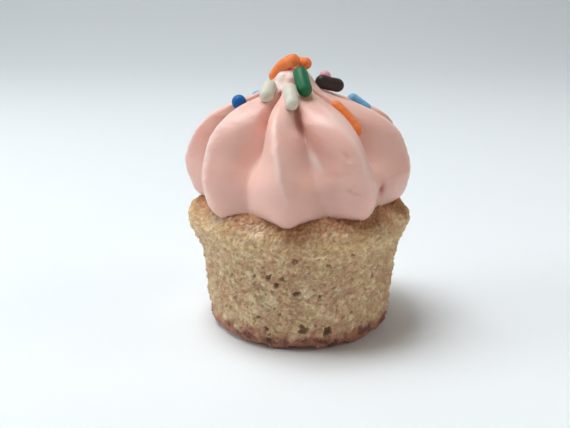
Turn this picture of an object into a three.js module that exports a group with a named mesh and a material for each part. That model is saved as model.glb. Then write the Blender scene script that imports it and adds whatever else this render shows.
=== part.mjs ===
// A small cupcake without a paper case: a flared cake with a domed top, and a star of
// frosting piped on it in one squeeze. Millimetres, +Z up, standing on z = 0 with its
// front towards -Y. Azimuths are degrees from the front, positive towards +X.
import * as THREE from "three";

// Driving dimensions.
const RIM_RADIUS = 21.5; // widest ring of the cake
const RIM_HEIGHT = 21.5;
const CAKE_TOP = 27.9; // top of the dome, under the frosting
const FOOT_FLAT_RADIUS = 15.4; // flat that the cake stands on
const WALL_RADIUS = 18.1; // low on the wall, above the rounded bottom edge
const BOTTOM_SHIFT = 0.35; // the bottom sits this far towards +X of the rim
const FROSTING_FOOT = 25.3; // height where the frosting lands on the dome
const FROSTING_TOP = 50.0; // tip of the pulled-off peak
const BELLY_RADIUS = 21.4; // widest point of a frosting lobe
const BELLY_HEIGHT = 31.2;
const PEAK_LEAN = 1.0; // the peak stands this far towards -X
const LEAN_RISE = [38, 46]; // the neck shifts over between these heights
const CREASE_RISE = [37.6, 41.2]; // creases round the neck deepen between these heights
const CREASE_END = [44.6, 46.4]; // and close again
const CRUST_GAP = 0.3; // clearance between crust and frosting

// Mesh fineness.
const CAKE_STEPS_AROUND = 72;
const CAKE_STEPS_UP = 24;
const STEPS_PER_LOBE = 12;
const FROSTING_STEPS_UP = 26;
const UNDERSIDE_RINGS = 6;
const LOOKUP_STEPS = 400; // on lines that are only read from

// Outline of the cake from the edge of its flat bottom to the top of the dome,
// as [radius, height].
const CAKE_OUTLINE = [
  [FOOT_FLAT_RADIUS, 0],
  [16.8, 0.5],
  [17.6, 1.8],
  [WALL_RADIUS, 4.5],
  [18.7, 9.0],
  [19.0, 13.0],
  [19.6, 16.5],
  [20.8, 19.6],
  [RIM_RADIUS, RIM_HEIGHT],
  [21.2, 22.9],
  [20.1, 24.2],
  [18.2, 25.4],
  [14.0, 26.7],
  [7.0, 27.6],
  [0, CAKE_TOP],
];

// Crest and valley of the frosting's lobes, as [height, crest radius, valley radius].
const FROSTING_OUTLINE = [
  [FROSTING_FOOT, 18.3, 17.3],
  [27.3, 20.6, 17.3],
  [BELLY_HEIGHT, BELLY_RADIUS, 16.7],
  [35.4, 20.4, 13.2],
  [38.8, 18.8, 11.9],
  [41.4, 16.1, 11.3],
  [43.4, 12.5, 9.4],
  [45.0, 7.9, 6.6],
  [46.2, 5.3, 4.8],
  [47.3, 4.1, 3.9],
  [48.6, 3.2, 3.1],
  [49.5, 2.3, 2.3],
  [FROSTING_TOP, 0, 0],
];

// The eight lobes in turn. crest and valley give the azimuth at the foot, the waist and
// the neck, the valley being the one after the lobe. reach scales the belly and tip is how
// far the crest runs out over the crust at the foot. crease is the depth of the crease in
// the valley and its spread in degrees, towards this lobe and towards the next.
const LOBES = [
  { crest: [-96, -90, -82], valley: [-78, -76, -72], reach: 1.035, tip: 0.4, crease: [4.0, 7, 7] },
  { crest: [-46, -54, -57], valley: [-31, -33, -30], reach: 1.0, tip: 0.9, crease: [3.0, 7, 8] },
  { crest: [-6.5, -8.4, -14.2], valley: [15, 9.5, 3.6], reach: 1.0, tip: 1.2, crease: [2.9, 13, 2] },
  { crest: [36, 34.5, 28.5], valley: [55, 55.5, 53], reach: 1.0, tip: 0.6, crease: [3.6, 8, 8] },
  { crest: [87, 84, 79], valley: [109, 101, 91], reach: 1.01, tip: 0.3, crease: [3.4, 7, 7] },
  { crest: [130, 119, 104], valley: [150, 150, 147], reach: 1.04, tip: 0.8, crease: [4.5, 8, 8] },
  { crest: [172, 171, 168], valley: [193, 192, 188], reach: 0.99, tip: 0.5, crease: [4.5, 7, 7] },
  { crest: [216, 215, 208], valley: [241, 243, 240], reach: 0.98, tip: 0.9, crease: [4.8, 10, 10] },
];
const WAIST_HEIGHT = 32; // where the second azimuth holds
const NECK_HEIGHT = 40.5; // where the third azimuth holds
const TURN_ENDS = 41.5; // the lobes keep their azimuths from here up
const FOOT_RISE = 3.5; // the foot's tips and its fit to the dome fade out over this height
const TIP_WIDTH = 0.3; // share of half a lobe over which a tip fades out
const CREST_ROUNDING = [0.24, 0.1]; // at the foot, and from the waist up
const VALLEY_ROUNDING = [0.32, 0.12]; // below and above the shoulder
const SHOULDER = [34, 40];
const FLANK_BULGE = 0.35;
const LEAST_OPENING = 0.2; // a crease starts with this share of its width

const { degToRad: toRadians, lerp, smoothstep } = THREE.MathUtils;

// count + 1 evenly spaced points on a smooth line through the given points.
function smoothLine(points, count) {
  return new THREE.SplineCurve(points.map(([x, y]) => new THREE.Vector2(x, y))).getPoints(count);
}

// Second coordinate at the given first one, on a line of points whose first coordinate
// rises or falls all the way.
function readLine(line, x) {
  const rising = line[line.length - 1].x > line[0].x;
  const after = line.findIndex((point) => (rising ? point.x >= x : point.x <= x));
  if (after <= 0) return after === 0 ? line[0].y : line[line.length - 1].y;
  const [a, b] = [line[after - 1], line[after]];
  return a.y + ((b.y - a.y) * (x - a.x)) / (b.x - a.x);
}

// Value at a height, on a parabola through the values at the foot, the waist and the
// neck, level from where the turn ends.
function alongLobe([foot, waist, neck], height) {
  const h = Math.min(height, TURN_ENDS) - FROSTING_FOOT;
  const w = WAIST_HEIGHT - FROSTING_FOOT;
  const n = NECK_HEIGHT - FROSTING_FOOT;
  const footPart = (foot * (h - w) * (h - n)) / (w * n);
  const waistPart = (waist * h * (n - h)) / (w * (n - w));
  const neckPart = (neck * h * (h - w)) / (n * (n - w));
  return footPart + waistPart + neckPart;
}

// A closed skin over rings of equally many points, from the lowest point, up the rings,
// to the highest point. Rings run anticlockwise seen from above.
function skin(bottom, rings, top) {
  const around = rings[0].length;
  const points = [bottom, ...rings.flat(), top];
  const at = (ring, step) => 1 + ring * around + (step % around);
  const last = rings.length - 1;
  const faces = [];
  for (let step = 0; step < around; step++) {
    faces.push(0, at(0, step + 1), at(0, step));
    for (let ring = 0; ring < last; ring++) {
      faces.push(at(ring, step), at(ring, step + 1), at(ring + 1, step + 1));
      faces.push(at(ring, step), at(ring + 1, step + 1), at(ring + 1, step));
    }
    faces.push(at(last, step), at(last, step + 1), points.length - 1);
  }
  const geometry = new THREE.BufferGeometry();
  geometry.setAttribute("position", new THREE.Float32BufferAttribute(points.flat(), 3));
  geometry.setIndex(faces);
  geometry.computeVertexNormals();
  return geometry;
}

function polarPoint(radius, azimuth, height) {
  return [radius * Math.sin(azimuth), -radius * Math.cos(azimuth), height];
}

// The cake: its outline turned round the axis, with the bottom shifted a little.
function cakeGeometry() {
  const outline = smoothLine(CAKE_OUTLINE, CAKE_STEPS_UP);
  const top = outline.pop();
  const rings = outline.map(({ x: radius, y: height }) => {
    const shift = BOTTOM_SHIFT * Math.max(0, 1 - height / RIM_HEIGHT);
    return Array.from({ length: CAKE_STEPS_AROUND }, (_, step) => {
      const [x, y, z] = polarPoint(radius, (2 * Math.PI * step) / CAKE_STEPS_AROUND, height);
      return [x + shift, y, z];
    });
  });
  return skin([BOTTOM_SHIFT, 0, 0], rings, [0, 0, top.y]);
}

// Height of the frosting's underside over the dome at a radius.
const domeLine = smoothLine(CAKE_OUTLINE, LOOKUP_STEPS).filter(({ y }) => y > RIM_HEIGHT);
const undersideHeight = (radius) => readLine(domeLine, radius) + CRUST_GAP;

// A share from 0 to 1 whose corner at 0 is rounded.
function rounded(share, rounding) {
  return (Math.hypot(share, rounding) - rounding) / (Math.hypot(1, rounding) - rounding);
}

// One column of the frosting's side, at place u in a lobe: -1 is the valley before it,
// 0 its crest and 1 the valley after it.
function frostingColumn(index, u, crestLine, valleyLine) {
  const lobe = LOBES[index];
  const before = LOBES[(index + LOBES.length - 1) % LOBES.length];
  const after = LOBES[(index + 1) % LOBES.length];
  const neighbour = u < 0 ? before : after;
  const reach = lobe.reach + ((neighbour.reach - lobe.reach) * Math.abs(u)) / 2;
  const [creaseDepth, ownSide, farSide] = (u < 0 ? before : lobe).crease;
  return crestLine.map(({ x: crestRadius, y: height }) => {
    const fromFoot = smoothstep(height, FROSTING_FOOT, WAIST_HEIGHT);
    const share = 1 - rounded(Math.abs(u), lerp(...CREST_ROUNDING, fromFoot));
    const flank = share + FLANK_BULGE * share * (1 - share);
    const above = smoothstep(height, ...SHOULDER);
    const crestness = rounded(flank, lerp(...VALLEY_ROUNDING, above));
    const crest = alongLobe(lobe.crest, height);
    const turn = index === 0 ? 360 : 0;
    const edge = u < 0 ? alongLobe(before.valley, height) - turn : alongLobe(lobe.valley, height);
    const opening = smoothstep(height, ...CREASE_RISE);
    const fromValley = Math.abs(edge - crest) * (1 - Math.abs(u));
    const creaseWidth = (u < 0 ? farSide : ownSide) * Math.max(opening, LEAST_OPENING);
    const creased = creaseDepth * opening * (1 - smoothstep(height, ...CREASE_END));
    const crease = creased * (1 - smoothstep(fromValley, 0, creaseWidth));
    const valleyRadius = readLine(valleyLine, height);
    const up = (height - FROSTING_FOOT) / (FROSTING_TOP - FROSTING_FOOT);
    const spread = 1 + (reach - 1) * Math.sin(Math.PI * up);
    const landing = Math.max(0, 1 - (height - FROSTING_FOOT) / FOOT_RISE) ** 2;
    const belly = lerp(valleyRadius, crestRadius, crestness) * spread - crease;
    const radius = belly + lobe.tip * landing * Math.exp(-((u / TIP_WIDTH) ** 2));
    const azimuth = toRadians(crest + (edge - crest) * Math.abs(u));
    const landed = height + (undersideHeight(radius) - FROSTING_FOOT) * landing;
    const [x, y, z] = polarPoint(radius, azimuth, landed);
    return [x - PEAK_LEAN * smoothstep(height, ...LEAN_RISE), y, z];
  });
}

// The frosting: columns up the eight lobes, closed underneath along the dome.
function frostingGeometry() {
  const crests = FROSTING_OUTLINE.map(([height, crest]) => [crest, height]);
  const valleys = FROSTING_OUTLINE.map(([height, , valley]) => [height, valley]);
  const crestLine = smoothLine(crests, FROSTING_STEPS_UP);
  const valleyLine = smoothLine(valleys, LOOKUP_STEPS);
  const columns = LOBES.flatMap((_, index) =>
    Array.from({ length: STEPS_PER_LOBE }, (_, step) =>
      frostingColumn(index, (2 * step) / STEPS_PER_LOBE - 1, crestLine, valleyLine)));
  const side = crestLine.slice(0, -1).map((_, row) => columns.map((column) => column[row]));
  const underside = Array.from({ length: UNDERSIDE_RINGS - 1 }, (_, ring) => {
    const share = (ring + 1) / UNDERSIDE_RINGS;
    return side[0].map(([x, y]) => [x * share, y * share, undersideHeight(Math.hypot(x, y) * share)]);
  });
  const tip = [-PEAK_LEAN, 0, FROSTING_TOP];
  return skin([0, 0, undersideHeight(0)], [...underside, ...side], tip);
}

const cake = new THREE.Mesh(
  cakeGeometry(),
  new THREE.MeshStandardMaterial({ color: 0xc9a06a, roughness: 0.9, metalness: 0 }),
);
cake.name = "cake";

const frosting = new THREE.Mesh(
  frostingGeometry(),
  new THREE.MeshStandardMaterial({ color: 0xeec3b6, roughness: 0.55, metalness: 0 }),
);
frosting.name = "frosting";

const cupcake = new THREE.Group();
cupcake.add(cake, frosting);
export default cupcake;
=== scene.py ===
import math
import bpy
import numpy as np
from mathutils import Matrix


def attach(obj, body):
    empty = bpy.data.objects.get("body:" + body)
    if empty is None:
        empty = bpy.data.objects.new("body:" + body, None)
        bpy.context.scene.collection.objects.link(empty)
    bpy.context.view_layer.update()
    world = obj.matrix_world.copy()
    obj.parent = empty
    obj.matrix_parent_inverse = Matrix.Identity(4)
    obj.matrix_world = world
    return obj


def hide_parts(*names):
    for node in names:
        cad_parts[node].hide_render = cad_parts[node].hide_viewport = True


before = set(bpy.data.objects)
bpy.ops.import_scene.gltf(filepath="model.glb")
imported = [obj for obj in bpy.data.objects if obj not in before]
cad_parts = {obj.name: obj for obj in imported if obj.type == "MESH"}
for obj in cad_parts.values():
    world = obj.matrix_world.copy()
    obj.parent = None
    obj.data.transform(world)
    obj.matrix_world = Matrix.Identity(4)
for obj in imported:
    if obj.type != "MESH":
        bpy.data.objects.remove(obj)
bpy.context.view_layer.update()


# ---- View, table and light ---------------------------------------------------------
# The cupcake stands on a matt white sheet that curves up behind it. The main light falls
# from high on the left, with a low one from the left edge and weak ones from the front,
# the right and the back, so that a soft shadow lies close to its right side.

MM = 0.001  # shapes are worked out in millimetres and put into their meshes in metres
VIEW_FROM = (-2.6, -148.4, 66.0)
VIEW_DOWN = 16.75  # degrees below level
VIEW_WIDTH = 40.0  # degrees from edge to edge of the view
SENSOR_WIDTH = 36.0
NEAREST_SEEN = 5.0  # from the camera

camera_data = bpy.data.cameras.new("view")
camera_data.sensor_fit = "HORIZONTAL"
camera_data.sensor_width = SENSOR_WIDTH
camera_data.lens = SENSOR_WIDTH / 2 / math.tan(math.radians(VIEW_WIDTH / 2))
camera_data.clip_start = NEAREST_SEEN * MM
camera = bpy.data.objects.new("view", camera_data)
camera.location = [value * MM for value in VIEW_FROM]
camera.rotation_euler = (math.radians(90 - VIEW_DOWN), 0, 0)
bpy.context.scene.collection.objects.link(camera)
bpy.context.scene.camera = camera
bpy.context.scene.view_settings.view_transform = "Standard"


def new_material(name):
    """A node material holding one Principled surface, with its tree and that surface."""
    material = bpy.data.materials.new(name)
    material.use_nodes = True
    tree = material.node_tree
    return material, tree, tree.nodes["Principled BSDF"]


def set_values(made, **values):
    """Sets constants on a node's inputs, each by its name."""
    for name, value in values.items():
        made.inputs[name.replace("_", " ")].default_value = value


def make_mesh(name, points, faces):
    """A smooth-shaded object at the origin from points in millimetres and its faces."""
    mesh = bpy.data.meshes.new(name)
    mesh.from_pydata((points * MM).tolist(), [], faces.tolist())
    mesh.shade_smooth()
    piece = bpy.data.objects.new(name, mesh)
    bpy.context.scene.collection.objects.link(piece)
    return piece


def grid_faces(rows, columns, wrap):
    """Four-sided faces between neighbouring rows and columns of points. Where wrap is
    true the last column joins the first."""
    row = np.arange(rows - 1)[:, None]
    column = np.arange(columns if wrap else columns - 1)[None]
    beside = (column + 1) % columns
    corners = [row * columns + column, row * columns + beside,
               (row + 1) * columns + beside, (row + 1) * columns + column]
    return np.stack(np.broadcast_arrays(*corners), -1).reshape(-1, 4)


SHEET_HALF_WIDTH = 2500.0
SHEET_FRONT = -1200.0
SHEET_FLAT_TO = 420.0  # from here the sheet curves up
SHEET_CURVE = 900.0
SHEET_TOP = 2200.0
SHEET_CURVE_ROWS = 33
SHEET_WHITE = (0.88, 0.92, 0.94, 1)

sheet_turn = np.linspace(0, math.pi / 2, SHEET_CURVE_ROWS)
sheet_side = np.concatenate([
    [[SHEET_FRONT, 0]],
    np.stack([SHEET_FLAT_TO + SHEET_CURVE * np.sin(sheet_turn),
              SHEET_CURVE * (1 - np.cos(sheet_turn))], -1),
    [[SHEET_FLAT_TO + SHEET_CURVE, SHEET_TOP]],
])
sheet_points = np.stack([
    np.stack([np.full(len(sheet_side), across), sheet_side[:, 0], sheet_side[:, 1]], -1)
    for across in (SHEET_HALF_WIDTH, -SHEET_HALF_WIDTH)
], 1)
table = make_mesh("table", sheet_points.reshape(-1, 3), grid_faces(len(sheet_side), 2, False))
table_material, _, table_surface = new_material("white_sheet")
set_values(table_surface, Base_Color=SHEET_WHITE, Roughness=0.9)
table.data.materials.append(table_material)


LAMP_AIM = 20.0  # height over the sheet that every lamp faces
LAMP_COLOUR = (0.97, 1.0, 1.02)
FILL_COLOUR = (1.08, 0.98, 0.90)
ROOM_COLOUR = (0.93, 0.97, 1.0, 1)
ROOM_STRENGTH = 0.01


def lamp(name, azimuth, elevation, distance, size, watts, colour=LAMP_COLOUR):
    """A square lamp facing the cupcake. The azimuth is in degrees from the front, positive
    to the right, and the elevation in degrees above level."""
    data = bpy.data.lights.new(name, "AREA")
    data.size = size * MM
    data.energy = watts
    data.color = colour
    made = bpy.data.objects.new(name, data)
    turn, rise = math.radians(azimuth), math.radians(elevation)
    level = distance * math.cos(rise)
    place = (level * math.sin(turn), -level * math.cos(turn), LAMP_AIM + distance * math.sin(rise))
    made.location = [value * MM for value in place]
    made.rotation_euler = (math.pi / 2 - rise, 0, turn)
    bpy.context.scene.collection.objects.link(made)


lamp("window", -90, 75, 550, 240, 1.35)
lamp("ceiling", -110, 70, 1500, 1000, 8.8)
lamp("left", -88, 26, 550, 260, 0.90)
lamp("front", 5, 14, 550, 260, 0.30, FILL_COLOUR)
lamp("right", 80, 38, 550, 260, 0.40, FILL_COLOUR)
lamp("back_right", 150, 20, 1500, 900, 2.45)
lamp("back_left", -150, 45, 1500, 900, 1.3)
lamp("far_right", 90, 20, 1500, 900, 0.8, FILL_COLOUR)
room = bpy.data.worlds.new("room")
room.use_nodes = True
set_values(room.node_tree.nodes["Background"], Color=ROOM_COLOUR, Strength=ROOM_STRENGTH)
bpy.context.scene.world = room


# ---- Cake ---------------------------------------------------------------------------
# A vanilla cake baked straight in a greased tin, so its wall is bare crumb with bubbles
# torn open, browned dark round the bottom edge. Its domed top is a thin gold crust, browner
# towards the frosting, partly as painted shade under its edge, and crusted with sugar in
# patches, where glints are painted too. Shade is painted in the crumb's holes and, with a
# browner crumb, in its crevices.

# Outline from the edge of the flat bottom to the top of the dome: radius, height.
CAKE_OUTLINE = [
    (15.4, 0), (16.8, 0.5), (17.6, 1.8), (18.1, 4.5), (18.7, 9.0), (19.0, 13.0), (19.6, 16.5),
    (20.8, 19.6), (21.5, 21.5), (21.2, 22.9), (20.1, 24.2), (18.2, 25.4), (14.0, 26.7),
    (7.0, 27.6), (0, 27.9),
]
RIM_HEIGHT = 21.5
BOTTOM_SHIFT = 0.35  # the bottom sits this far to the right of the rim
CRUMB_COLUMNS = 560
CRUMB_STEP = 0.2  # between rows where the cake shows
HIDDEN_RADIUS = 15.0  # inside this the frosting covers the dome
HIDDEN_ROWS = 10
BOTTOM_ROWS = 6
LINE_POINTS = 4000  # along an outline that values are read off
# The largest torn holes of the front: azimuth in degrees, height, radius.
HOLES = [
    (-3, 18.6, 0.55), (15, 17.2, 0.56), (-17, 15.2, 0.75), (-27, 16.2, 0.45), (-25, 14.8, 0.45),
    (-13, 13.4, 0.60), (-9, 14.6, 0.60), (-2, 12.1, 0.65), (12, 11.2, 0.65), (18, 12.6, 0.50),
    (-12, 11.2, 0.40), (-32, 7.1, 0.35), (-27, 5.9, 0.35), (31, 13.9, 0.40), (22, 20.2, 0.35),
    (-35, 16.0, 0.45), (46, 13.6, 0.45), (-6, 4.9, 0.40), (3, 4.9, 0.80), (-21, 4.2, 0.60),
    (17, 3.8, 0.95), (27, 2.8, 0.50), (-19, 2.3, 0.55),
]
# Where the shoulder is crusted with sugar, glossy and with glints painted in, and where it
# is browner, partly as painted shade under the frosting: azimuth in degrees, height, half
# width.
SUGARED = [
    (-23, 23.4, 2.8), (16, 23.4, 1.3), (-52, 23.6, 4.0), (62, 23.0, 1.8), (110, 23.4, 2.6),
    (158, 23.2, 2.8), (-152, 23.6, 2.6), (-105, 23.2, 3.0),
]
# Browned patches: the crust's brown there is partly painted shade under the frosting.
BROWNED_AND_SHADED = [
    (-2, 23.0, 2.8), (-27, 25.2, 2.4), (14, 25.2, 2.6), (33, 24.8, 2.4), (75, 23.5, 2.6),
    (135, 23.8, 2.5), (-178, 24.0, 3.0), (-128, 23.8, 2.2),
]
# In such a patch the crust's brown is partly painted shade.
BROWN_AND_SHADE_DROP = 1.8  # the crust starts this much lower in the middle of a browned patch
# Heights between which the crust and the shoulder set in, and between which the browned
# foot and the smooth edge of the bottom end.
CRUST_RISE = (22.1, 25.1)
SHOULDER_RISE = (17.5, 22.0)
FOOT_END = (2.3, 4.2)
SMOOTH_EDGE_END = (0.0, 0.5)
# Layers of soft noise: height, size, seed. The first three make a border uneven.
CRUST_BORDER = [(0.5, 3.0, 21), (0.8, 0.7, 36)]
SHOULDER_BORDER = [(1.2, 2.5, 26)]
FOOT_BORDER = [(1.1, 2.4, 22), (0.9, 0.8, 28)]
SWELLS = [(0.26, 4.2, 23), (0.18, 2.0, 24)]
FINE_RELIEF = [(0.25, 0.32, 25), (0.08, 0.55, 29)]
HOLE_EDGES = [(0.25, 0.4, 30)]
CRACKED = [(1.0, 4.5, 27)]
# How far noise of this size bends the borders of grains, holes and patches.
WARP_SIZE = 0.8
WARP_SEEDS = (11, 12, 13)
GRAIN_BEND = 0.09
HOLE_BEND = 0.5
PATCH_BEND = 1.2
# Round grains, clumps of them and bubbles: cell size, smallest and largest radius, rarity
# of the large ones, seed.
GRAINS = (1.15, 0.4, 0.95, 1, 31)
SMALL_GRAINS = (0.55, 0.2, 0.42, 1, 32)
CLUMPS = (2.6, 0.9, 1.7, 1, 35)
PORES = (1.9, 0.05, 0.5, 2.5, 33)
SMALL_PORES = (0.8, 0.0, 0.38, 1.8, 34)
# Shares of their reach by which grains stand out and holes go in.
GRAIN_HEIGHT = 0.36
SMALL_GRAIN_HEIGHT = 0.42
HOLE_DEPTH = 0.9
CRACK_DEPTH = 0.40  # in the middle of a crack
GRAIN_LEVEL = 0.31  # the grains' usual height, which leaves the outline where it is
SKIN = 0.3  # share of the open crumb that the crust and the foot's skin close
SKIN_RELIEF = 0.35  # share of the grains' height that closed crumb would keep
SHOULDER_CLOSES = 0.5  # share of the pores' depth that the shoulder lacks
CRACK_WIDTH = (0.0, 0.8)  # cracks run where clumps reach less far than this
CRACKED_FROM = (-0.2, 0.4)  # values of the CRACKED noise between which cracks set in
CREVICE_UP_TO = (0.08, 0.40)  # heights of the grains between which crevices end
PIT_FROM = (0.1, 0.5)  # depths of a hole between which it darkens


def smooth_line(points, count):
    """Evenly numbered places on a Catmull-Rom line: between two points, a cubic that
    leaves each of them along the line joining its neighbours. The ends are doubled."""
    held = np.array(points, float)
    held = np.vstack([held[:1], held, held[-1:]])
    place = np.linspace(0, len(points) - 1, count)
    first = np.minimum(place.astype(int), len(points) - 2)
    t = (place - first)[:, None]
    a, b, c, d = (held[first + k] for k in range(4))
    return b + 0.5 * t * (c - a + t * (2 * a - 5 * b + 4 * c - d + t * (3 * b - 3 * c + d - a)))


CAKE_LINE = smooth_line(CAKE_OUTLINE, LINE_POINTS)
LATTICE = 4096  # random numbers in a noise table
SCATTER = (73856093, 19349663, 83492791)  # large primes, one for each axis
SEED_SCATTER = 2654435761


def lattice_number(cell, seed):
    """Which random number belongs to each cell of a cubic lattice: the bits of its three
    numbers and of the seed, each times a large number, mixed by exclusive or."""
    mixed = cell[..., 0] * SCATTER[0] ^ cell[..., 1] * SCATTER[1] ^ cell[..., 2] * SCATTER[2]
    return (mixed ^ seed * SEED_SCATTER) % LATTICE


def soft_noise(places, size, seed):
    """Smooth noise from -1 to 1: a random number on each corner of a cubic lattice with
    that cell size, blended between the eight corners round a place by smoothstep."""
    table = np.random.default_rng(seed).uniform(-1, 1, LATTICE)
    cell = np.floor(places / size).astype(np.int64)
    part = places / size - cell
    part = part * part * (3 - 2 * part)
    total = 0
    for corner in np.ndindex(2, 2, 2):
        weight = np.where(np.array(corner) == 1, part, 1 - part).prod(-1)
        total = total + weight * table[lattice_number(cell + corner, seed)]
    return total


def noise_layers(places, layers):
    """Soft noises of several sizes, each times its height, added up. Each layer is a
    height, a size and a seed."""
    return sum(height * soft_noise(places, size, seed) for height, size, seed in layers)


def bubbles(places, size, smallest, largest, rarity, seed):
    """How far round balls reach at each place. One ball has a random centre in each
    lattice cell and a radius R between smallest and largest, the large ones rarer with
    a higher rarity. At distance g from its centre it reaches sqrt(R^2 - g^2)."""
    random = np.random.default_rng(seed).uniform(0, 1, (LATTICE, 4))
    cell = np.floor(places / size).astype(np.int64)
    depth = np.zeros(places.shape[:-1])
    for corner in np.ndindex(3, 3, 3):
        beside = cell + corner - 1
        own = random[lattice_number(beside, seed)]
        radius = smallest + (largest - smallest) * own[..., 3] ** rarity
        distance = np.linalg.norm(places - (beside + own[..., :3]) * size, axis=-1)
        depth = np.maximum(depth, np.sqrt(np.maximum(radius ** 2 - distance ** 2, 0)))
    return depth


def ramp(value, low, high):
    """0 below low, 1 above high, and smoothstep between."""
    t = np.clip((value - low) / (high - low), 0, 1)
    return t * t * (3 - 2 * t)


def distance_to(places, azimuth, height):
    """Distance from each place to the point of the outline with an azimuth and a height."""
    radius, turn = np.interp(height, CAKE_LINE[:, 1], CAKE_LINE[:, 0]), math.radians(azimuth)
    point = (radius * math.sin(turn), -radius * math.cos(turn), height)
    return np.linalg.norm(places - point, axis=-1)


def torn_holes(places):
    """How far the largest holes reach at each place. Each is a ball round a centre on the
    outline: at distance g from it the hole of radius R reaches sqrt(R^2 - g^2)."""
    depth = np.zeros(places.shape[:-1])
    for azimuth, height, radius in HOLES:
        distance = distance_to(places, azimuth, height)
        depth = np.maximum(depth, np.sqrt(np.maximum(radius ** 2 - distance ** 2, 0)))
    return depth


def patches_at(places, patches):
    """How far each place is inside one of the patches, from 0 to 1: the largest of
    exp(-(g / half width)^2), where g is the distance to the patch's middle."""
    return np.max([np.exp(-(distance_to(places, azimuth, height) / half_width) ** 2)
                   for azimuth, height, half_width in patches], 0)


def cake_rows():
    """Radius, height and outward direction of each row: even steps along the outline
    where it shows, wider ones under the frosting and across the bottom."""
    radius, height = CAKE_LINE.T
    run = np.r_[0, np.cumsum(np.hypot(*np.diff(CAKE_LINE, axis=0).T))]
    hidden_from = run[np.nonzero((radius < HIDDEN_RADIUS) & (height > RIM_HEIGHT))[0][0]]
    shown = np.arange(0, hidden_from, CRUMB_STEP)
    hidden = np.linspace(hidden_from, run[-1], HIDDEN_ROWS + 1)[:-1]
    at = np.r_[shown, hidden]
    rows = np.stack([np.interp(at, run, radius), np.interp(at, run, height)], -1)
    along = np.gradient(rows, at, axis=0)
    along /= np.linalg.norm(along, axis=1, keepdims=True)
    out = np.stack([along[:, 1], -along[:, 0]], -1)
    bottom_radius = CAKE_OUTLINE[0][0] * np.arange(1, BOTTOM_ROWS) / BOTTOM_ROWS
    bottom = np.stack([bottom_radius, np.zeros(BOTTOM_ROWS - 1)], -1)
    down = np.tile([0.0, -1.0], (BOTTOM_ROWS - 1, 1))
    return np.vstack([bottom, rows]), np.vstack([down, out])


def turned(line):
    """Rows of radius and height turned round the axis into points, or into directions."""
    turn = np.linspace(0, 2 * math.pi, CRUMB_COLUMNS, endpoint=False)
    flat = line[:, 0, None, None] * np.stack([np.sin(turn), -np.cos(turn)], -1)
    upright = np.broadcast_to(line[:, 1, None, None], flat[..., :1].shape)
    return np.concatenate([flat, upright], -1)


def crumb_zones(places, warp):
    """How far each place belongs to the crust, whose brown is partly painted shade under the
    frosting, the shoulder, the sugared patches, where glints are painted, and the foot, from
    0 to 1. Each border is a ramp in the height, moved by soft noise, and the crust's lies
    lower in patches browned and shaded and higher in sugared ones."""
    height = places[..., 2]
    bent = places + PATCH_BEND * warp
    sugared = patches_at(bent, SUGARED)
    # browned patches, where the crust's brown is partly painted shade under the frosting
    drop = BROWN_AND_SHADE_DROP * patches_at(bent, BROWNED_AND_SHADED) - sugared
    crust = ramp(height + drop + noise_layers(places, CRUST_BORDER), *CRUST_RISE)
    shoulder = ramp(height + noise_layers(places, SHOULDER_BORDER), *SHOULDER_RISE)
    foot = 1 - ramp(height + noise_layers(places, FOOT_BORDER), *FOOT_END)
    return {"crust": crust, "shoulder": shoulder, "sugared": sugared, "foot": foot}


def between(pair, share):
    """The first of two values where the share is 0 and the second where it is 1."""
    return pair[0] + (pair[1] - pair[0]) * share


def cake_surface():
    """The outline turned round the axis, with its bottom shifted, then moved along its
    outward direction by the crumb's relief: wide swells, round grains of two sizes and
    fine noise, less open bubbles, torn holes and cracks between clumps of grains. The
    relief fades out at the bottom. Also gives the masks for its material."""
    rows, out = cake_rows()
    places, away = turned(rows), turned(out)
    places[..., 0] += BOTTOM_SHIFT * np.clip(1 - rows[:, 1, None] / RIM_HEIGHT, 0, 1)
    edge = ramp(places[..., 2], *SMOOTH_EDGE_END)
    warp = np.stack([soft_noise(places, WARP_SIZE, seed) for seed in WARP_SEEDS], -1)
    bent = places + GRAIN_BEND * warp
    torn = places + HOLE_BEND * warp + noise_layers(places, HOLE_EDGES)[..., None]
    zones = crumb_zones(places, warp)
    wall = 1 - zones["shoulder"]
    open_crumb = (1 - SKIN * zones["crust"]) * (1 - SKIN * zones["foot"])
    grains = GRAIN_HEIGHT * bubbles(bent, *GRAINS)
    grains = grains + SMALL_GRAIN_HEIGHT * bubbles(bent, *SMALL_GRAINS)
    cracks = 1 - ramp(bubbles(bent, *CLUMPS), *CRACK_WIDTH)
    cracks = cracks * ramp(noise_layers(places, CRACKED), *CRACKED_FROM)
    pores = np.maximum(bubbles(torn, *PORES), bubbles(bent, *SMALL_PORES))
    pores = pores * open_crumb * (1 - SHOULDER_CLOSES * zones["shoulder"])
    opened = np.maximum(pores, torn_holes(torn))
    relief = (grains - GRAIN_LEVEL) * between((SKIN_RELIEF, 1), open_crumb)
    relief += noise_layers(places, FINE_RELIEF)
    relief -= HOLE_DEPTH * opened + CRACK_DEPTH * cracks * open_crumb * wall
    # crevices between grains and in cracks, where shade is painted in with a browner crumb
    crevice_shade_and_brown = np.maximum(1 - ramp(grains, *CREVICE_UP_TO), cracks * wall) * open_crumb
    places = places + away * ((noise_layers(places, SWELLS) + relief) * edge)[..., None]
    places[..., 2] = np.maximum(places[..., 2], 0)
    # the pit mask says how much shade is painted into the holes
    return places, {"pit_shade": ramp(opened, *PIT_FROM), "crevice_shade_and_brown": crevice_shade_and_brown, **zones}


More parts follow.
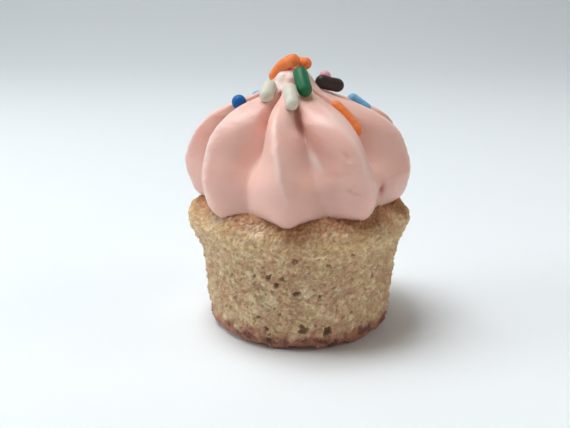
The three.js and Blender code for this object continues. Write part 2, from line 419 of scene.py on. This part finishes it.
def close_grid(points, first, last):
    """Points of a wrapped grid and its two end points, and the faces that close it."""
    rows, columns = points.shape[:2]
    every = np.vstack([points.reshape(-1, 3), [first, last]])
    step = np.arange(columns)
    beside = (step + 1) % columns
    start = np.stack([np.full(columns, rows * columns), beside, step], -1)
    end = (rows - 1) * columns + np.stack([step, beside, np.full(columns, columns + 1)], -1)
    quads = grid_faces(rows, columns, True)
    triangles = np.vstack([quads[:, [0, 1, 2]], quads[:, [0, 2, 3]]])
    return every, np.vstack([start, triangles, end])


def add_masks(piece, masks):
    """Gives a closed grid named values for its material, one for each point."""
    for name, mask in masks.items():
        values = np.r_[mask.ravel(), mask[0, 0], mask[-1, 0]].astype(np.float32)
        piece.data.attributes.new(name, "FLOAT", "POINT").data.foreach_set("value", values)


crumb, crumb_masks = cake_surface()
crumb_points, crumb_faces = close_grid(crumb, (BOTTOM_SHIFT, 0, 0), (0, 0, CAKE_OUTLINE[-1][1]))
cake = make_mesh("cake_crumb", crumb_points, crumb_faces)
add_masks(cake, crumb_masks)


def feed(tree, socket, value):
    """Gives an input a constant, or links another node's output to it."""
    if isinstance(value, bpy.types.NodeSocket):
        tree.links.new(value, socket)
    else:
        socket.default_value = value


def node(tree, kind, settings=None, **inputs):
    """A new node with its own settings and with inputs that are values or other sockets."""
    made = tree.nodes.new(kind)
    for key, value in (settings or {}).items():
        setattr(made, key, value)
    for key, value in inputs.items():
        feed(tree, made.inputs[key.replace("_", " ")], value)
    return made


def mottle_group():
    """Noise on Object coordinates as a shared effect: Size is the blotches' width in
    metres, Low and High the noise values that give 0 and 1."""
    group = bpy.data.node_groups.new("mottle", "ShaderNodeTree")
    for name, default in (("Size", 0.002), ("Detail", 3.0), ("Low", 0.4), ("High", 0.6)):
        socket = group.interface.new_socket(name, in_out="INPUT", socket_type="NodeSocketFloat")
        socket.default_value = default
    group.interface.new_socket("Value", in_out="OUTPUT", socket_type="NodeSocketFloat")
    held = group.nodes.new("NodeGroupInput").outputs
    given = group.nodes.new("NodeGroupOutput").inputs
    where = node(group, "ShaderNodeTexCoord").outputs["Object"]
    scale = node(group, "ShaderNodeMath", {"operation": "DIVIDE"})
    feed(group, scale.inputs[0], 1.0)
    feed(group, scale.inputs[1], held["Size"])
    noise = node(group, "ShaderNodeTexNoise", Vector=where, Scale=scale.outputs[0],
                 Detail=held["Detail"])
    spread = node(group, "ShaderNodeMapRange", {"interpolation_type": "SMOOTHSTEP"},
                  Value=noise.outputs[0], From_Min=held["Low"], From_Max=held["High"])
    feed(group, given["Value"], spread.outputs[0])
    return group


MOTTLE = mottle_group()


def mottle(tree, **values):
    """The shared noise placed in a material with its own values. Returns its output."""
    return node(tree, "ShaderNodeGroup", {"node_tree": MOTTLE}, **values).outputs["Value"]


def point_mask(tree, name):
    """A mask that the mesh holds under that name."""
    return node(tree, "ShaderNodeAttribute", {"attribute_name": name}).outputs["Fac"]


def times(tree, first, second):
    """Product of two values or sockets."""
    made = node(tree, "ShaderNodeMath", {"operation": "MULTIPLY"})
    feed(tree, made.inputs[0], first)
    feed(tree, made.inputs[1], second)
    return made.outputs[0]


MIX_SHARE, MIX_FIRST, MIX_SECOND, MIX_RESULT = 0, 6, 7, 2  # the Mix node's sockets for colours


def blend(tree, share, first, second):
    """Colour mix: first where share is 0 and second where it is 1."""
    mix = node(tree, "ShaderNodeMix", {"data_type": "RGBA"})
    feed(tree, mix.inputs[MIX_SHARE], share)
    for index, colour in ((MIX_FIRST, first), (MIX_SECOND, second)):
        feed(tree, mix.inputs[index], (*colour, 1) if isinstance(colour, tuple) else colour)
    return mix.outputs[MIX_RESULT]


def coats(tree, colour, layers):
    """Colours laid over one another from first to last. Each layer is a mask, how strongly
    it covers where the mask is 1, and its colour."""
    for mask, strength, shade in layers:
        colour = blend(tree, times(tree, mask, strength), colour, shade)
    return colour


BUMP_SIZE = 0.00035  # metres
BUMP_RANGE = {"Low": 0.2, "High": 0.8}


def add_bump(tree, surface, detail, strength, depth):
    """A skin's finest unevenness: the shared noise as a height, its depth in metres."""
    height = mottle(tree, Size=BUMP_SIZE, Detail=detail, **BUMP_RANGE)
    bump = node(tree, "ShaderNodeBump", Height=height, Strength=strength, Distance=depth)
    feed(tree, surface.inputs["Normal"], bump.outputs["Normal"])


CRUMB_PALE = (0.86, 0.70, 0.42)
CRUMB_WARM = (0.74, 0.49, 0.32)
CRUMB_LIGHT = (0.96, 0.86, 0.60)
# Brown of the specks and dust, also laid into the crevices together with painted shade.
CRUMB_BROWN = (0.40, 0.20, 0.085)
# Shade painted into the holes.
PIT_SHADE = (0.14, 0.06, 0.03)
SHOULDER_GOLD = (0.90, 0.65, 0.32)
# Brown of the crust, partly painted shade under the frosting's edge.
CRUST_BROWN_AND_SHADE = (0.38, 0.15, 0.068)
# Glints painted onto the sugared shoulder.
PAINTED_GLINT = (1.0, 0.88, 0.64)
FOOT_BROWN = (0.50, 0.23, 0.15)
FOOT_DARK = (0.23, 0.10, 0.075)
CRUMB_ROUGHNESS = 0.85
SUGAR_ROUGHNESS = 0.35


def cake_material():
    """Pale crumb with warm blotches, airy patches and light grains, turning gold on the
    shoulder and brown near the frosting, partly baked crust and partly painted shade under
    its edge. Over these lie brown specks, crevices darkened partly by browner crumb and
    partly by painted shade, painted shade in the holes, and at the foot a dark edge. Glints
    are painted in patches on the shoulder, where sugar also makes it glossy."""
    material, tree, surface = new_material("baked_crumb")
    pit_shade, crevice_shade_and_brown, crust, shoulder, sugared, foot = (
        point_mask(tree, name)
        for name in ("pit_shade", "crevice_shade_and_brown", "crust", "shoulder", "sugared", "foot"))
    warm = mottle(tree, Size=0.0022, Detail=4.0, Low=0.38, High=0.58)
    airy = mottle(tree, Size=0.0036, Detail=3.0, Low=0.52, High=0.64)
    golden = mottle(tree, Size=0.003, Detail=3.0, Low=0.30, High=0.60)
    grains = mottle(tree, Size=0.0007, Detail=2.0, Low=0.50, High=0.70)
    baked = mottle(tree, Size=0.0006, Detail=3.0, Low=1.05, High=0.30)
    specks = mottle(tree, Size=0.0009, Detail=3.0, Low=0.56, High=0.68)
    dust = mottle(tree, Size=0.0003, Detail=1.0, Low=0.45, High=0.70)
    burnt = mottle(tree, Size=0.0028, Detail=4.0, Low=0.46, High=0.60)
    # small specks where glints are painted
    painted_glints = mottle(tree, Size=0.0004, Detail=1.0, Low=0.58, High=0.68)
    melted = mottle(tree, Size=0.0006, Detail=2.0, Low=0.42, High=0.52)
    colour = coats(tree, blend(tree, warm, CRUMB_PALE, CRUMB_WARM), [
        (airy, 0.5, CRUMB_LIGHT),
        (times(tree, shoulder, golden), 0.8, SHOULDER_GOLD),
        (grains, 0.35, CRUMB_LIGHT),
        # the crust's brown, partly painted shade under the frosting
        (times(tree, crust, baked), 1.0, CRUST_BROWN_AND_SHADE),
        (specks, 0.5, CRUMB_BROWN),
        # crevices: partly browner crumb, partly painted shade
        (crevice_shade_and_brown, 0.42, CRUMB_BROWN),
        (dust, 0.25, CRUMB_BROWN),
        (foot, 1.0, blend(tree, burnt, FOOT_BROWN, FOOT_DARK)),
        # shade painted into the holes
        (pit_shade, 0.8, PIT_SHADE),
        # glints painted in the sugared patches
        (times(tree, sugared, painted_glints), 0.4, PAINTED_GLINT),
    ])
    feed(tree, surface.inputs["Base Color"], colour)
    wet = times(tree, sugared, melted)
    rough = node(tree, "ShaderNodeMapRange", Value=wet,
                 To_Min=CRUMB_ROUGHNESS, To_Max=SUGAR_ROUGHNESS)
    feed(tree, surface.inputs["Roughness"], rough.outputs[0])
    feed(tree, surface.inputs["Coat Weight"], wet)
    set_values(surface, Coat_Roughness=0.1, Subsurface_Weight=0.25,
               Subsurface_Radius=(1.0, 0.6, 0.3), Subsurface_Scale=0.001)
    add_bump(tree, surface, detail=4.0, strength=0.6, depth=0.0002)
    return material


cake.data.materials.append(cake_material())
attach(cake, "root")
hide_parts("cake")


# ---- Frosting -----------------------------------------------------------------------
# Soft butter frosting pressed through a star tip in one squeeze while the tip rose, so it
# swells into eight lobes with creases between them and tears off in a blunt crumpled peak.

# Height, crest radius and valley radius of the lobes.
FROSTING_OUTLINE = [
    (25.3, 18.3, 17.3), (27.3, 20.6, 17.3), (31.2, 21.4, 16.7), (35.4, 20.4, 13.2),
    (38.8, 18.8, 11.9), (41.4, 16.1, 11.3), (43.4, 12.5, 9.4), (45.0, 7.9, 6.6),
    (46.2, 5.3, 4.8), (47.3, 4.1, 3.9), (48.6, 3.2, 3.1), (49.5, 2.3, 2.3), (50.0, 0, 0),
]
# Heights of the foot, the waist and the neck, where the lobes' azimuths are given, and of
# the peak.
FOOT, WAIST, NECK, PEAK = 25.3, 32.0, 40.5, 50.0
# One lobe to a line: azimuth of its crest at foot, waist and neck, the same for the
# valley after it, how far its belly reaches, how far its tip runs out over the crust, and
# the crease in that valley: its depth and its spread in degrees towards this lobe and
# towards the next.
LOBES = [
    ((-96, -90, -82), (-78, -76, -72), 1.035, 0.4, (4.0, 7, 7)),
    ((-46, -54, -57), (-31, -33, -30), 1.0, 0.9, (3.0, 7, 8)),
    ((-6.5, -8.4, -14.2), (15, 9.5, 3.6), 1.0, 1.2, (2.9, 13, 2)),
    ((36, 34.5, 28.5), (55, 55.5, 53), 1.0, 0.6, (3.6, 8, 8)),
    ((87, 84, 79), (109, 101, 91), 1.01, 0.3, (3.4, 7, 7)),
    ((130, 119, 104), (150, 150, 147), 1.04, 0.8, (4.5, 8, 8)),
    ((172, 171, 168), (193, 192, 188), 0.99, 0.5, (4.5, 7, 7)),
    ((216, 215, 208), (241, 243, 240), 0.98, 0.9, (4.8, 10, 10)),
]
FOOT_RISE = 3.5  # the tips and the fit to the dome fade out over this height
TIP_WIDTH = 0.3  # share of half a lobe
CREST_ROUNDING = (0.24, 0.10)  # at the foot and from the waist up
EDGE_WIDTH = 0.10  # of the nicked crest
VALLEY_ROUNDING = (0.32, 0.12)  # below and above the belly
BELLY_END = (34.0, 40.0)
FLANK_BULGE = 0.35  # how much fuller than straight the sides of a lobe are
CREASE_RISE = (37.6, 41.2)  # the creases round the neck deepen between these heights
CREASE_END = (44.6, 46.4)  # and close again
LEAST_OPENING = 0.2  # a crease starts with this share of its width
TURN_ENDS = 41.5  # the lobes keep their azimuths from here up
PEAK_LEAN = 1.0  # how far to the left of the middle the peak stands
LEAN_RISE = (38.0, 46.0)  # the neck shifts that far between these heights
PRESSED_IN = 0.5  # the frosting's foot sits this far into the crust
LOBE_COLUMNS = 64
CREST_CROWDING = 0.3  # how much closer the columns stand on the crests
FROSTING_ROWS = 186
UNDERSIDE_ROWS = 4
VALLEY_POINTS = 2000  # along the line that the valleys' radii are read off
LEAST_LENGTH = 1e-6  # keeps a division off zero
# Layers of soft noise that move the side: height, size, seed.
FROSTING_SWELLS = [(0.14, 5.0, 41), (0.07, 1.8, 42)]
DRAG_LINES = [(0.045, 0.5, 43)]
NICKS = [(0.10, 0.9, 44)]
CRUMPLES = [(0.40, 1.7, 45)]
DRAG_STRETCH = (0.3, 0.3, 1)  # places count less across, which makes the drag lines long
CRUMPLE_RISE = (44.5, 47.0)  # the neck turns crumpled between these heights
UNEVEN_RISE = (25.0, 27.0)  # the noise sets in over the foot
UNEVEN_END = (48.8, 49.9)  # and fades out at the peak
# Highlight painted paler on patches of the torn peak: heights between which it sets in,
# its noise, and the noise values between which it does.
PEAK_HIGHLIGHT_RISE = (45.0, 47.5)
PEAK_HIGHLIGHT_PATCHES = [(1.0, 1.2, 46)]
PEAK_HIGHLIGHT_FROM = (-1.0, 0.1)
# Highlight painted paler along the crests: how strong, and the heights where it sets in and ends.
EDGE_HIGHLIGHT = 0.4  # how much paler the crests are between these heights
EDGE_HIGHLIGHT_RISE = (26.0, 36.0)
EDGE_HIGHLIGHT_END = (43.0, 45.5)
# Small pits and scratches left by air in the frosting, and where the depth is below 0
# small swells: azimuth, height, half width, half height, lean of its top to the right in
# degrees, depth, and how much shade is painted in it, or highlight where below 0.
MARKS = [
    (60.4, 28.8, 0.52, 1.0, 14, 0.35, 1.2),
    (10.4, 35.3, 0.6, 1.8, -22, -0.45, -0.9),
    (24.9, 37.0, 0.30, 0.75, -28, 0.12, 0.25),
    (26.3, 35.7, 0.40, 0.35, 0, -0.10, -0.4),
    (25.3, 30.9, 0.35, 0.35, 0, 0.08, 0.30),
    (27.8, 30.4, 0.30, 1.0, -70, 0.08, 0.25),
]


def along_lobe(values, height):
    """A parabola in the height through the values at foot, waist and neck, level from
    where the turn ends. values has the three in its last axis."""
    h = np.minimum(height, TURN_ENDS) - FOOT
    w, n = WAIST - FOOT, NECK - FOOT
    values = np.asarray(values, float)
    return (values[..., 0] * (h - w) * (h - n) / (w * n)
            + values[..., 1] * h * (n - h) / (w * (n - w))
            + values[..., 2] * h * (h - w) / (n * (n - w)))


def rounded(share, rounding):
    """A share from 0 to 1 whose corner at 0 is rounded: sqrt(share^2 + rounding^2) less
    the rounding, scaled back to reach 1."""
    return (np.hypot(share, rounding) - rounding) / (np.hypot(1, rounding) - rounding)


def frosting_side():
    """Rows of points from foot to peak. Across a lobe, u runs from -1 in one valley over
    0 on the crest to 1 in the next. The radius falls from crest to valley with |u|, a
    little bulged and with both ends rounded, less a crease round the neck that widens
    and deepens upwards. The azimuth runs from the crest's to the valley's. Also gives how
    near each point is to its crest, from 0 to 1."""
    outline = smooth_line([(crest, height) for height, crest, _ in FROSTING_OUTLINE], FROSTING_ROWS)
    valley_line = smooth_line([(height, valley) for height, _, valley in FROSTING_OUTLINE],
                              VALLEY_POINTS)
    crest_radius, height = outline[:-1, 0, None], outline[:-1, 1, None]
    valley_radius = np.interp(height, valley_line[:, 0], valley_line[:, 1])
    u = np.linspace(-1, 1, LOBE_COLUMNS, endpoint=False)
    u = np.tile(u * (1 - CREST_CROWDING + CREST_CROWDING * u ** 2), len(LOBES))[None]
    lobe = np.repeat(np.arange(len(LOBES)), LOBE_COLUMNS)
    before, after = (lobe - 1) % len(LOBES), (lobe + 1) % len(LOBES)
    crest, valley, creases = (np.array([row[k] for row in LOBES], float) for k in (0, 1, 4))
    reach, tip = (np.array([row[k] for row in LOBES]) for k in (2, 3))
    neighbour = np.where(u < 0, reach[before], reach[after])
    own_reach = reach[lobe] + (neighbour - reach[lobe]) * abs(u) / 2
    flank = 1 - rounded(abs(u), between(CREST_ROUNDING, ramp(height, FOOT, WAIST)))
    flank = flank + FLANK_BULGE * flank * (1 - flank)
    crestness = rounded(flank, between(VALLEY_ROUNDING, ramp(height, *BELLY_END)))
    middle = along_lobe(crest[lobe], height)
    turn = np.where(lobe == 0, 360, 0)
    edge = np.where(u < 0, along_lobe(valley[before], height) - turn,
                    along_lobe(valley[lobe], height))
    azimuth = np.radians(middle + (edge - middle) * abs(u))
    deepest, own_side, far_side = creases[np.where(u[0] < 0, before, lobe)].T
    opening = ramp(height, *CREASE_RISE)
    crease_width = np.where(u < 0, far_side, own_side) * np.maximum(opening, LEAST_OPENING)
    crease = deepest * opening * (1 - ramp(height, *CREASE_END))
    crease = crease * (1 - ramp(abs(edge - middle) * (1 - abs(u)) / crease_width, 0, 1))
    spread = 1 + (own_reach - 1) * np.sin(math.pi * (height - FOOT) / (PEAK - FOOT))
    landing = np.maximum(0, 1 - (height - FOOT) / FOOT_RISE) ** 2
    radius = (valley_radius + (crest_radius - valley_radius) * crestness) * spread - crease
    radius = radius + tip[lobe] * landing * np.exp(-(u / TIP_WIDTH) ** 2)
    z = height + (dome_height(radius) - PRESSED_IN - FOOT) * landing
    side = np.stack([radius * np.sin(azimuth) - lean_at(height), -radius * np.cos(azimuth), z], -1)
    return side, np.broadcast_to(np.exp(-(u / EDGE_WIDTH) ** 2), radius.shape)


def lean_at(height):
    """How far the frosting's middle stands to the left at a height, rising by smoothstep."""
    return PEAK_LEAN * ramp(height, *LEAN_RISE)


def dome_height(radius):
    """Height of the crust at a radius, read off the cake's outline above its rim."""
    dome = CAKE_LINE[CAKE_LINE[:, 1] > RIM_HEIGHT][::-1]
    return np.interp(radius, dome[:, 0], dome[:, 1])


def marks_at(places):
    """Depth and painted shading of the small marks at each place, summed over the marks:
    shade where it is above 0 and highlight where below. Each is a bell
    exp(-(a / half width)^2 - (b / half height)^2), where a and b are the distances round
    and up from its middle, turned by its lean."""
    depth, painted_shading = 0, 0
    azimuth = np.degrees(np.arctan2(places[..., 0], -places[..., 1]))
    for at, height, half_width, half_height, lean, deep, shading in MARKS:
        round_way = np.radians(azimuth - at) * np.hypot(places[..., 0], places[..., 1])
        up_way = places[..., 2] - height
        c, s = math.cos(math.radians(lean)), math.sin(math.radians(lean))
        a, b = c * round_way - s * up_way, s * round_way + c * up_way
        bell = np.exp(-(a / half_width) ** 2 - (b / half_height) ** 2)
        depth, painted_shading = depth + deep * bell, painted_shading + shading * bell
    return depth, painted_shading


def frosting_surface():
    """The side over an underside inside the crust, and masks for its material. The side
    is moved outwards by wide soft noise, by noise drawn out sideways in streaks, by a
    nicked edge along each crest, and by crumpling near the peak, and inwards by the small
    marks. Highlight is painted paler along the crests, on swells and on patches of the torn
    peak, and shade is painted darker in the pits and scratches."""
    side, edge = frosting_side()
    centre = side.mean(1, keepdims=True) * (1, 1, 0)
    away = side * (1, 1, 0) - centre
    away = away / np.maximum(np.linalg.norm(away, axis=-1, keepdims=True), LEAST_LENGTH)
    height = side[..., 2]
    uneven = noise_layers(side, FROSTING_SWELLS) + noise_layers(side * DRAG_STRETCH, DRAG_LINES)
    uneven += edge * noise_layers(side, NICKS)
    uneven += ramp(height, *CRUMPLE_RISE) * noise_layers(side, CRUMPLES)
    uneven *= ramp(height, *UNEVEN_RISE) * (1 - ramp(height, *UNEVEN_END))
    marks, painted_shading = marks_at(side)
    side = side + away * (uneven - marks)[..., None]
    under = side[:1] * np.arange(1, UNDERSIDE_ROWS)[:, None, None] / UNDERSIDE_ROWS
    under[..., 2] = dome_height(np.hypot(under[..., 0], under[..., 1])) - PRESSED_IN
    # patches of the torn peak where highlight is painted
    torn = ramp(height, *PEAK_HIGHLIGHT_RISE) * ramp(noise_layers(side, PEAK_HIGHLIGHT_PATCHES), *PEAK_HIGHLIGHT_FROM)
    edge_highlight = EDGE_HIGHLIGHT * edge * ramp(height, *EDGE_HIGHLIGHT_RISE)
    edge_highlight = edge_highlight * (1 - ramp(height, *EDGE_HIGHLIGHT_END))
    # the pale mask: highlight painted on the crests, the swells and the torn peak
    pale = np.maximum(np.maximum(edge_highlight, torn), -painted_shading)
    # the mark mask: shade painted in the pits and scratches
    masks = {"pale": pale, "mark_shade": np.maximum(painted_shading, 0)}
    return np.concatenate([under, side]), {
        name: np.concatenate([under[..., 0] * 0, mask]) for name, mask in masks.items()}


frosting_grid, frosting_masks = frosting_surface()
frosting_points, frosting_faces = close_grid(
    frosting_grid, (0, 0, CAKE_OUTLINE[-1][1] - PRESSED_IN), (-PEAK_LEAN, 0, PEAK))
frosting = make_mesh("frosting_star", frosting_points, frosting_faces)
add_masks(frosting, frosting_masks)

FROSTING_PINK = (0.90, 0.58, 0.50)
FROSTING_DEEP = (0.87, 0.52, 0.44)
# Painted highlight colour.
FROSTING_HIGHLIGHT = (0.98, 0.86, 0.81)  # along the thin edges of the lobes and on the torn peak
# Shade painted in the pits and scratches.
FROSTING_MARK_SHADE = (0.46, 0.075, 0.06)


def frosting_material():
    """Pale pink with faint darker clouds, with highlight painted paler on the edges, the swells
    and the torn peak, and shade painted darker in the pits and scratches. Light goes a
    little way in, reddest furthest."""
    material, tree, surface = new_material("pink_frosting")
    clouds = mottle(tree, Size=0.006, Detail=3.0, Low=0.35, High=0.7)
    colour = coats(tree, blend(tree, clouds, FROSTING_PINK, FROSTING_DEEP), [
        # highlight painted paler
        (point_mask(tree, "pale"), 0.9, FROSTING_HIGHLIGHT),
        # shade painted darker in the marks
        (point_mask(tree, "mark_shade"), 0.8, FROSTING_MARK_SHADE),
    ])
    feed(tree, surface.inputs["Base Color"], colour)
    set_values(surface, Roughness=0.38, Subsurface_Weight=0.5,
               Subsurface_Radius=(1.0, 0.45, 0.3), Subsurface_Scale=0.0012)
    add_bump(tree, surface, detail=3.0, strength=0.25, depth=0.0001)
    return material


frosting.data.materials.append(frosting_material())
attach(frosting, "root")
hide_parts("frosting")


# ---- Sprinkles ----------------------------------------------------------------------
# Sugar dough pressed into thin rods, cut short, tumbled till the ends are round and dyed,
# then dropped by hand on the soft frosting. Most lie round the peak, a little sunk in.

ROD_RADIUS = 1.2
ROD_COLUMNS = 28
CAP_ROWS = 7
BODY_ROWS = 14
ROD_UNEVEN = 0.05  # share of the radius
ROD_UNEVEN_SIZE = 1.5
FIRST_ROD_SEED = 60
COLOUR_SEED_STEP = 10
STRAIGHT = (0, 0, 0)
# One rod to a line: the middles of its two round ends, how far its middle bows out, and
# its thickness as a share of the usual.
RODS = {
    "orange": [
        ((-4.45, 0.50, 48.35), (-1.05, -1.60, 51.50), (-0.20, 0.25, 0.45), 1.0),
        ((1.25, -0.60, 50.80), (-0.51, 2.40, 50.75), STRAIGHT, 0.95),
        ((6.85, -4.75, 43.30), (10.40, -6.60, 39.40), (0.1, -0.1, 0.15), 1.0),
        ((0.60, 11.60, 44.15), (3.40, 12.80, 43.45), STRAIGHT, 1.0),
    ],
    "white": [
        ((-1.70, -6.80, 46.72), (-1.42, -10.30, 44.78), STRAIGHT, 1.05),
        ((-5.45, -3.90, 46.85), (-5.95, -6.00, 45.65), STRAIGHT, 1.12),
        ((0.80, 6.60, 46.40), (2.20, 9.00, 45.30), STRAIGHT, 1.0),
    ],
    "green": [
        ((0.24, -3.50, 49.29), (0.95, -6.50, 46.80), (-0.1, -0.1, 0.1), 1.12),
        ((-4.20, 7.20, 45.85), (-6.40, 9.40, 44.25), STRAIGHT, 1.0),
    ],
    "blue": [
        ((-11.18, -2.50, 43.91), (-11.35, 0.60, 43.45), STRAIGHT, 1.12),
    ],
    "light_blue": [
        ((-7.95, 4.30, 43.90), (-8.35, 8.20, 42.90), STRAIGHT, 1.0),
        ((10.50, 2.40, 43.70), (12.85, 2.40, 42.00), STRAIGHT, 0.95),
    ],
    "pink": [
        ((4.75, 3.70, 45.35), (5.05, 3.00, 48.00), STRAIGHT, 0.95),
    ],
    "brown": [
        ((4.36, -0.10, 47.41), (7.27, 0.10, 46.67), STRAIGHT, 1.06),
    ],
}


def rod_surface(first, last, bow, thickness, seed):
    """A circle swept along the parabola first + t (last - first) + 4 t (1 - t) bow, with
    half a ball on each end, and both thinned or thickened a little by soft noise."""
    first, last, bow = (np.array(value, float) for value in (first, last, bow))
    radius = ROD_RADIUS * thickness
    swell = np.linspace(0, math.pi / 2, CAP_ROWS + 1)[1:]
    t = np.r_[np.zeros(CAP_ROWS), np.linspace(0, 1, BODY_ROWS)[1:-1], np.ones(CAP_ROWS)][:, None]
    out = np.r_[-np.cos(swell), np.zeros(BODY_ROWS - 2), np.cos(swell[::-1])][:, None] * radius
    wide = np.r_[np.sin(swell), np.ones(BODY_ROWS - 2), np.sin(swell[::-1])][:, None, None] * radius
    along = last - first + 4 * (1 - 2 * t) * bow
    along /= np.linalg.norm(along, axis=1, keepdims=True)
    middle = first + t * (last - first) + 4 * t * (1 - t) * bow + out * along
    aside = np.cross(along, np.eye(3)[abs(last - first).argmin()])
    aside /= np.linalg.norm(aside, axis=1, keepdims=True)
    turn = np.linspace(0, 2 * math.pi, ROD_COLUMNS, endpoint=False)[:, None]
    circle = np.cos(turn) * aside[:, None] + np.sin(turn) * np.cross(along, aside)[:, None]
    circle = middle[:, None] + wide * circle
    uneven = 1 + ROD_UNEVEN * soft_noise(circle, ROD_UNEVEN_SIZE, seed)
    circle = middle[:, None] + (circle - middle[:, None]) * uneven[..., None]
    ends = first - radius * along[0], last + radius * along[-1]
    return close_grid(circle, *ends)


def rod_piece(colour, seed):
    """All rods of one colour as one mesh."""
    points, faces, used = [], [], 0
    for index, rod in enumerate(RODS[colour]):
        own_points, own_faces = rod_surface(*rod, seed + index)
        points.append(own_points)
        faces.append(own_faces + used)
        used += len(own_points)
    return make_mesh("sprinkles_" + colour, np.vstack(points), np.vstack(faces))


def sugar_material(name, base, pale):
    """Dyed sugar with a waxy skin and faint paler clouds."""
    material, tree, surface = new_material(name)
    clouds = mottle(tree, Size=0.0009, Detail=3.0, Low=0.4, High=0.75)
    feed(tree, surface.inputs["Base Color"], coats(tree, base, [(clouds, 0.4, pale)]))
    set_values(surface, Roughness=0.45, Specular_IOR_Level=0.3, Subsurface_Weight=0.3,
               Subsurface_Radius=(1.0, 0.7, 0.5), Subsurface_Scale=0.0006)
    return material


# The dye of each colour, and of its paler clouds, except that the light blue is only the
# blue made paler.
SUGAR = {
    "orange": ((0.95, 0.24, 0.06), (1.0, 0.44, 0.19)),
    "white": ((0.69, 0.67, 0.56), (0.83, 0.81, 0.71)),
    "green": ((0.014, 0.15, 0.06), (0.03, 0.23, 0.11)),
    "blue": ((0.001, 0.12, 0.42), (0.002, 0.17, 0.52)),
    "light_blue": ((0.16, 0.46, 0.72), (0.32, 0.60, 0.82)),
    "pink": ((0.86, 0.43, 0.56), (0.93, 0.55, 0.66)),
    "brown": ((0.044, 0.027, 0.026), (0.065, 0.043, 0.04)),
}

for index, (colour, (base, pale)) in enumerate(SUGAR.items()):
    sprinkles = rod_piece(colour, FIRST_ROD_SEED + COLOUR_SEED_STEP * index)
    sprinkles.data.materials.append(sugar_material("sugar_" + colour, base, pale))
    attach(sprinkles, "root")
